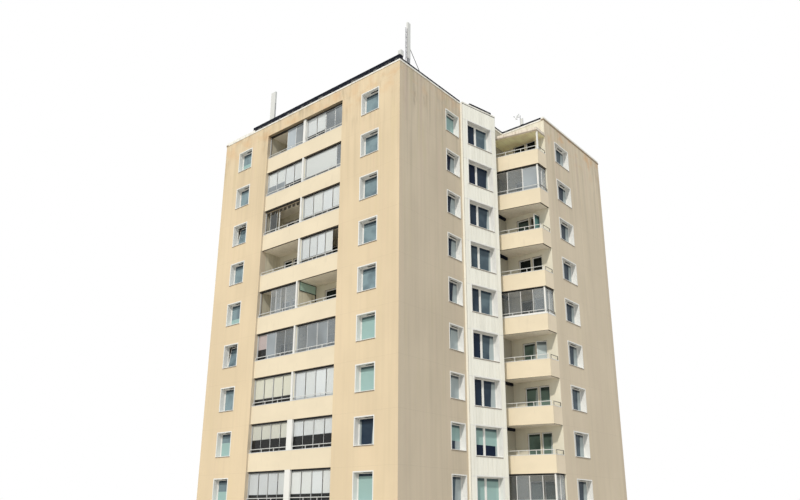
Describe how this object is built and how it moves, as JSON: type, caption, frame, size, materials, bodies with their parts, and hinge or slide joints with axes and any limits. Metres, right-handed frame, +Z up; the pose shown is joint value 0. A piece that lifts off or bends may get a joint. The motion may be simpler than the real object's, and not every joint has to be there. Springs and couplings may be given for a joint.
{
  "type": "apartment block",
  "caption": "Hollow apartment block with stepped wings, loggias, canted bays, corner balconies and a flat roof with aerials.",
  "frame": {"origin": "middle of the footprint on the ground", "axes": "+Z up; -Y out of the front wall with its loggias; +X out of the right side wall and gable"},
  "size_m": [19.38, 19.35, 31.25],
  "materials": {
    "render": "weathered cream render on precast concrete",
    "cladding": "white fibre-cement boards, matt",
    "parapet": "light cream paint on precast concrete",
    "concrete": "bare grey concrete",
    "roofing": "dark bitumen felt",
    "rail": "light grey painted steel tube",
    "white_metal": "white coated sheet metal",
    "canopy": "yellowed board underside",
    "black_metal": "black coated sheet metal with standing seams",
    "door": "grey painted steel",
    "glass": "teal-tinted window glass",
    "mast": "weathered galvanised steel",
    "aerial": "white radome"
  },
  "bodies": {
    "root": {"front_wall_left": "render", "front_wall_right": "render", "back_wall_left": "render", "back_wall_right": "render", "loggia_head_walls": "render", "right_side_wall": "render", "left_side_wall": "render", "right_bay_wall": "cladding", "left_bay_wall": "cladding", "bay_return_walls": "render", "nook_side_walls": "render", "nook_back_walls": "render", "right_gable_wall": "render", "left_gable_wall": "render", "loggia_back_walls": "render", "loggia_side_walls": "render", "loggia_divider_walls": "render", "loggia_floors": "concrete", "loggia_parapets": "parapet", "loggia_posts": "white_metal", "loggia_handrails": "rail", "balcony_floors": "concrete", "balcony_front_parapets": "parapet", "balcony_side_parapets": "parapet", "balcony_handrails": "rail", "balcony_canopies": "canopy", "canopy_posts": "white_metal", "middle_floors": "concrete", "wing_floors": "concrete", "corner_floors": "concrete", "bay_floors": "concrete", "middle_roof": "roofing", "wing_roofs": "roofing", "bay_roofs": "roofing", "roof_trim": "white_metal", "roof_edge": "black_metal", "roof_bands": "black_metal", "window_glass": "glass", "bay_glass": "glass", "balcony_door_glass": "glass", "entrance_door": "door", "aerial_mast": "mast", "aerial_poles": "mast", "panel_aerials": "aerial", "aerial_box": "aerial"}
  },
  "joints": []
}
